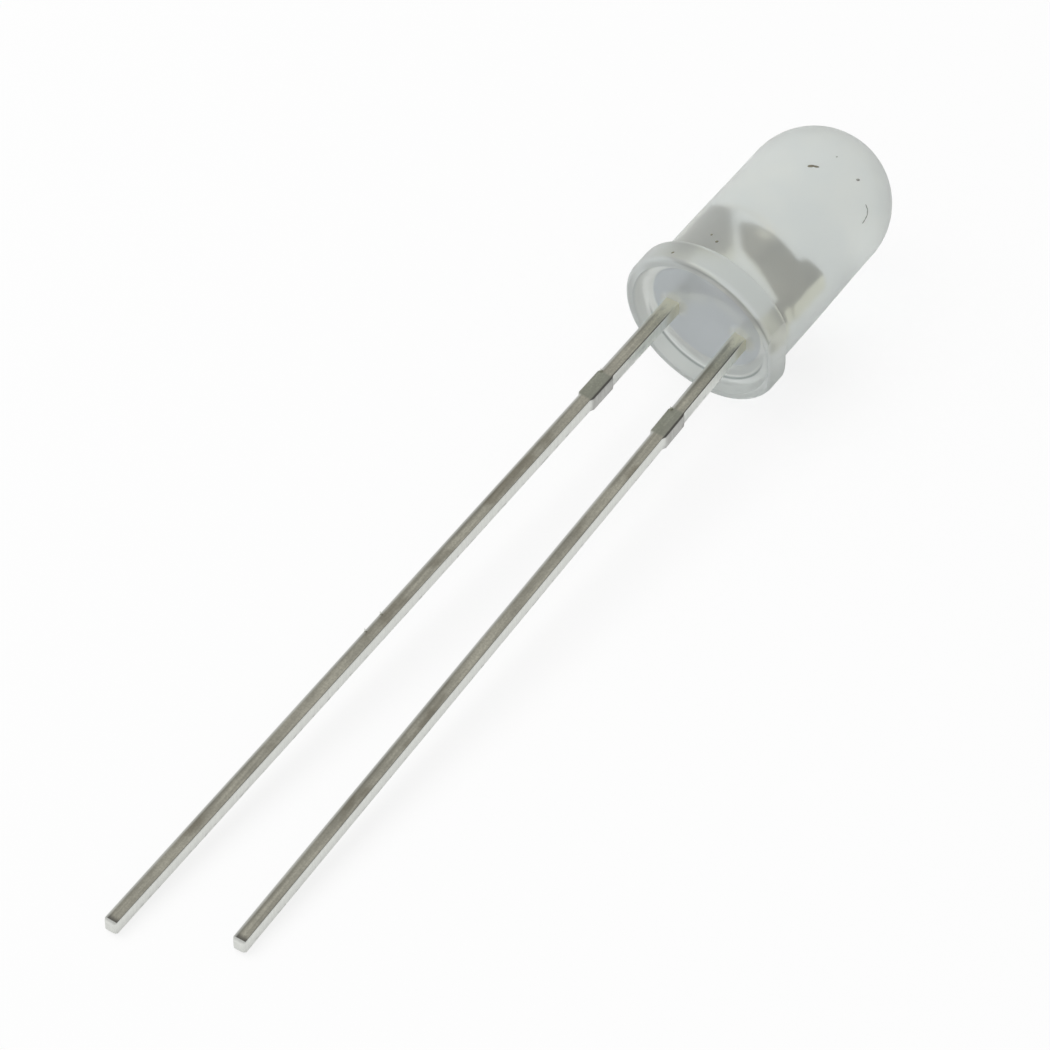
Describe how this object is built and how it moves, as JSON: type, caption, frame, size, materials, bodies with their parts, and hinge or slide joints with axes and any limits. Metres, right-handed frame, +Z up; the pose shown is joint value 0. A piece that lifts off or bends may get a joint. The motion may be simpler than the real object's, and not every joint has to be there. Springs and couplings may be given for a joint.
{
  "type": "through-hole light emitting diode",
  "caption": "Round milky light emitting diode with a domed flanged lens and straight square leads with stand-off collars, lying loose on its side.",
  "frame": {"origin": "centre of the flange's underside on the lens axis, so the surface that the diode lies on is about 2.84 mm below the origin", "axes": "+Z up from that surface, +Y level and towards the dome, the leads towards -Y, +X towards the cathode side"},
  "size_m": [0.0054, 0.0375, 0.0058],
  "materials": {
    "milky_epoxy": "colourless epoxy clouded by a diffusing filler, moulded gloss with a soft sheen",
    "tinned_steel": "stamped strip with a dull tin plating, fine lines along the lead",
    "semiconductor": "sawn crystal with a plain metal contact",
    "silver_adhesive": "cured adhesive filled with silver flake",
    "gold_wire": "drawn gold wire"
  },
  "bodies": {
    "root": {"epoxy_lens": "milky_epoxy", "anode_lead": "tinned_steel", "cathode_lead": "tinned_steel", "led_chip": "semiconductor", "chip_adhesive": "silver_adhesive", "bond_wire": "gold_wire"}
  },
  "joints": []
}
